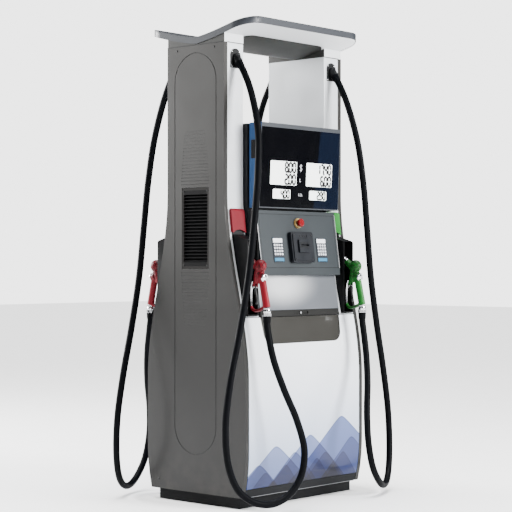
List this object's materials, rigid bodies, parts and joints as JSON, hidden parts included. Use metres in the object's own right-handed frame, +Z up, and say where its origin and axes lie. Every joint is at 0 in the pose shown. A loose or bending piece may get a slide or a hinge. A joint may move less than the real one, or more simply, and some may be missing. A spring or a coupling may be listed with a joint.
{
  "type": "fuel dispenser",
  "caption": "Double-sided fuel dispenser with hanging hoses, hand nozzles, display heads, consoles and a gull-wing canopy over two columns.",
  "frame": {"origin": "on the ground at the centre of the base", "axes": "+Z up, +X to the right seen from the front, front face towards -Y"},
  "size_m": [1.271, 1.0794, 2.335],
  "materials": {
    "base_frame": "satin black paint",
    "steel_frame": "galvanised and painted",
    "side_panels": "warm grey satin paint",
    "vent_grilles": "black paint",
    "columns": "silver white paint",
    "canopy_top": "blue grey satin paint",
    "canopy_underside": "silver paint",
    "canopy_liner": "dark grey paint",
    "head_box": "dark grey paint",
    "consoles": "blue grey satin paint",
    "keypads": "membrane keypad",
    "card_readers": "dark moulded plastic",
    "aprons": "silver paint",
    "shelves": "grey paint",
    "kick_rails": "dark paint",
    "grade_caps_red": "red moulded plastic",
    "grade_caps_green": "green moulded plastic",
    "nozzle_boots": "black moulded plastic",
    "hose_outlets": "black plastic",
    "hoses": "black rubber",
    "estop_collars": "yellow plastic",
    "estop_buttons": "red plastic",
    "lower_doors": "silver white paint",
    "door_locks": "chromed",
    "display_doors": "blue paint",
    "display_glass": "black printed glass",
    "lcd_modules": "lcd and circuit board",
    "nozzle_body_red": "red coated casting",
    "nozzle_body_green": "green coated casting",
    "nozzle_metal": "polished",
    "nozzle_levers": "black coated",
    "motor": "blue paint",
    "pump_units": "cast",
    "drive_belts": "rubber",
    "flow_meters": "cast",
    "pipework": "drawn",
    "electronics": "circuit boards",
    "pulleys": "machined"
  },
  "bodies": {
    "root": {"base_frame": "base_frame", "steel_frame": "steel_frame", "side_panel_left": "side_panels", "side_panel_right": "side_panels", "vent_grilles": "vent_grilles", "column_left": "columns", "column_right": "columns", "canopy_top": "canopy_top", "canopy_underside": "canopy_underside", "canopy_liner": "canopy_liner", "head_box": "head_box", "console_front": "consoles", "console_rear": "consoles", "keypads": "keypads", "card_readers": "card_readers", "aprons": "aprons", "shelves": "shelves", "kick_rails": "kick_rails", "grade_caps_red": "grade_caps_red", "grade_caps_green": "grade_caps_green", "nozzle_boots_front": "nozzle_boots", "nozzle_boots_rear": "nozzle_boots", "hose_outlets": "hose_outlets", "hose_front_left": "hoses", "hose_front_right": "hoses", "hose_rear_left": "hoses", "hose_rear_right": "hoses", "estop_collars": "estop_collars", "motor": "motor", "pump_units": "pump_units", "drive_belts": "drive_belts", "flow_meters": "flow_meters", "pipework": "pipework", "electronics": "electronics"},
    "nozzle_front_left": {"nozzle_body_front_left": "nozzle_body_red", "nozzle_metal_front_left": "nozzle_metal"},
    "lever_front_left": {"nozzle_lever_front_left": "nozzle_levers"},
    "nozzle_front_right": {"nozzle_body_front_right": "nozzle_body_green", "nozzle_metal_front_right": "nozzle_metal"},
    "lever_front_right": {"nozzle_lever_front_right": "nozzle_levers"},
    "nozzle_rear_left": {"nozzle_body_rear_left": "nozzle_body_red", "nozzle_metal_rear_left": "nozzle_metal"},
    "lever_rear_left": {"nozzle_lever_rear_left": "nozzle_levers"},
    "nozzle_rear_right": {"nozzle_body_rear_right": "nozzle_body_green", "nozzle_metal_rear_right": "nozzle_metal"},
    "lever_rear_right": {"nozzle_lever_rear_right": "nozzle_levers"},
    "display_door_front": {"display_door_front": "display_doors", "display_glass_front": "display_glass", "lcd_modules_front": "lcd_modules"},
    "lower_door_front": {"lower_door_front": "lower_doors"},
    "door_lock_front": {"door_lock_front": "door_locks"},
    "estop_front": {"estop_button_front": "estop_buttons"},
    "display_door_rear": {"display_door_rear": "display_doors", "display_glass_rear": "display_glass", "lcd_modules_rear": "lcd_modules"},
    "lower_door_rear": {"lower_door_rear": "lower_doors"},
    "door_lock_rear": {"door_lock_rear": "door_locks"},
    "estop_rear": {"estop_button_rear": "estop_buttons"},
    "motor_pulleys": {"motor_pulleys": "pulleys"},
    "pump_pulleys": {"pump_pulleys": "pulleys"}
  },
  "joints": [
    {"name": "nozzle_lift_front_left", "type": "slide", "parent": "root", "child": "nozzle_front_left", "axis": [0, -0.97, 0.243], "range_m": [0, 0.12], "deforming": ["hose_front_left"]},
    {"name": "lever_squeeze_front_left", "type": "hinge", "parent": "nozzle_front_left", "child": "lever_front_left", "pos_m": [-0.364, -0.316, 1.05], "axis": [-1, 0, 0], "range_deg": [0, 18], "stiffness_Nm_per_rad": 1, "springref_deg": -5.73},
    {"name": "nozzle_lift_front_right", "type": "slide", "parent": "root", "child": "nozzle_front_right", "axis": [0, -0.97, 0.243], "range_m": [0, 0.12], "deforming": ["hose_front_right"]},
    {"name": "lever_squeeze_front_right", "type": "hinge", "parent": "nozzle_front_right", "child": "lever_front_right", "pos_m": [0.364, -0.316, 1.05], "axis": [-1, 0, 0], "range_deg": [0, 18], "stiffness_Nm_per_rad": 1, "springref_deg": -5.73},
    {"name": "nozzle_lift_rear_left", "type": "slide", "parent": "root", "child": "nozzle_rear_left", "axis": [0, 0.97, 0.243], "range_m": [0, 0.12], "deforming": ["hose_rear_left"]},
    {"name": "lever_squeeze_rear_left", "type": "hinge", "parent": "nozzle_rear_left", "child": "lever_rear_left", "pos_m": [-0.364, 0.316, 1.05], "axis": [1, 0, 0], "range_deg": [0, 18], "stiffness_Nm_per_rad": 1, "springref_deg": -5.73},
    {"name": "nozzle_lift_rear_right", "type": "slide", "parent": "root", "child": "nozzle_rear_right", "axis": [0, 0.97, 0.243], "range_m": [0, 0.12], "deforming": ["hose_rear_right"]},
    {"name": "lever_squeeze_rear_right", "type": "hinge", "parent": "nozzle_rear_right", "child": "lever_rear_right", "pos_m": [0.364, 0.316, 1.05], "axis": [1, 0, 0], "range_deg": [0, 18], "stiffness_Nm_per_rad": 1, "springref_deg": -5.73},
    {"name": "display_door_hinge_front", "type": "hinge", "parent": "root", "child": "display_door_front", "pos_m": [0.29, -0.23, 1.635], "axis": [0, 0, 1], "range_deg": [0, 80]},
    {"name": "lower_door_pull_front", "type": "slide", "parent": "root", "child": "lower_door_front", "axis": [0, -1, 0], "range_m": [0, 0.05]},
    {"name": "door_lock_turn_front", "type": "hinge", "parent": "root", "child": "door_lock_front", "pos_m": [0, -0.29, 0.921], "axis": [0, -1, 0], "range_deg": [0, 90]},
    {"name": "estop_press_front", "type": "slide", "parent": "root", "child": "estop_front", "axis": [0, 0.9902, -0.1394], "range_m": [0, 0.004], "stiffness_N_per_m": 1000, "springref_m": -0.004},
    {"name": "display_door_hinge_rear", "type": "hinge", "parent": "root", "child": "display_door_rear", "pos_m": [-0.29, 0.23, 1.635], "axis": [0, 0, 1], "range_deg": [0, 80]},
    {"name": "lower_door_pull_rear", "type": "slide", "parent": "root", "child": "lower_door_rear", "axis": [0, 1, 0], "range_m": [0, 0.05]},
    {"name": "door_lock_turn_rear", "type": "hinge", "parent": "root", "child": "door_lock_rear", "pos_m": [0, 0.29, 0.921], "axis": [0, 1, 0], "range_deg": [0, 90]},
    {"name": "estop_press_rear", "type": "slide", "parent": "root", "child": "estop_rear", "axis": [0, -0.9902, -0.1394], "range_m": [0, 0.004], "stiffness_N_per_m": 1000, "springref_m": -0.004},
    {"name": "motor_spin", "type": "hinge", "parent": "root", "child": "motor_pulleys", "pos_m": [0, 0, 0.23], "axis": [1, 0, 0], "continuous": true},
    {"name": "pump_spin", "type": "hinge", "parent": "root", "child": "pump_pulleys", "pos_m": [0, 0, 0.52], "axis": [1, 0, 0], "continuous": true}
  ],
  "couplings": [
    {"joint": "pump_spin", "follows": "motor_spin", "ratio": 0.4828}
  ]
}
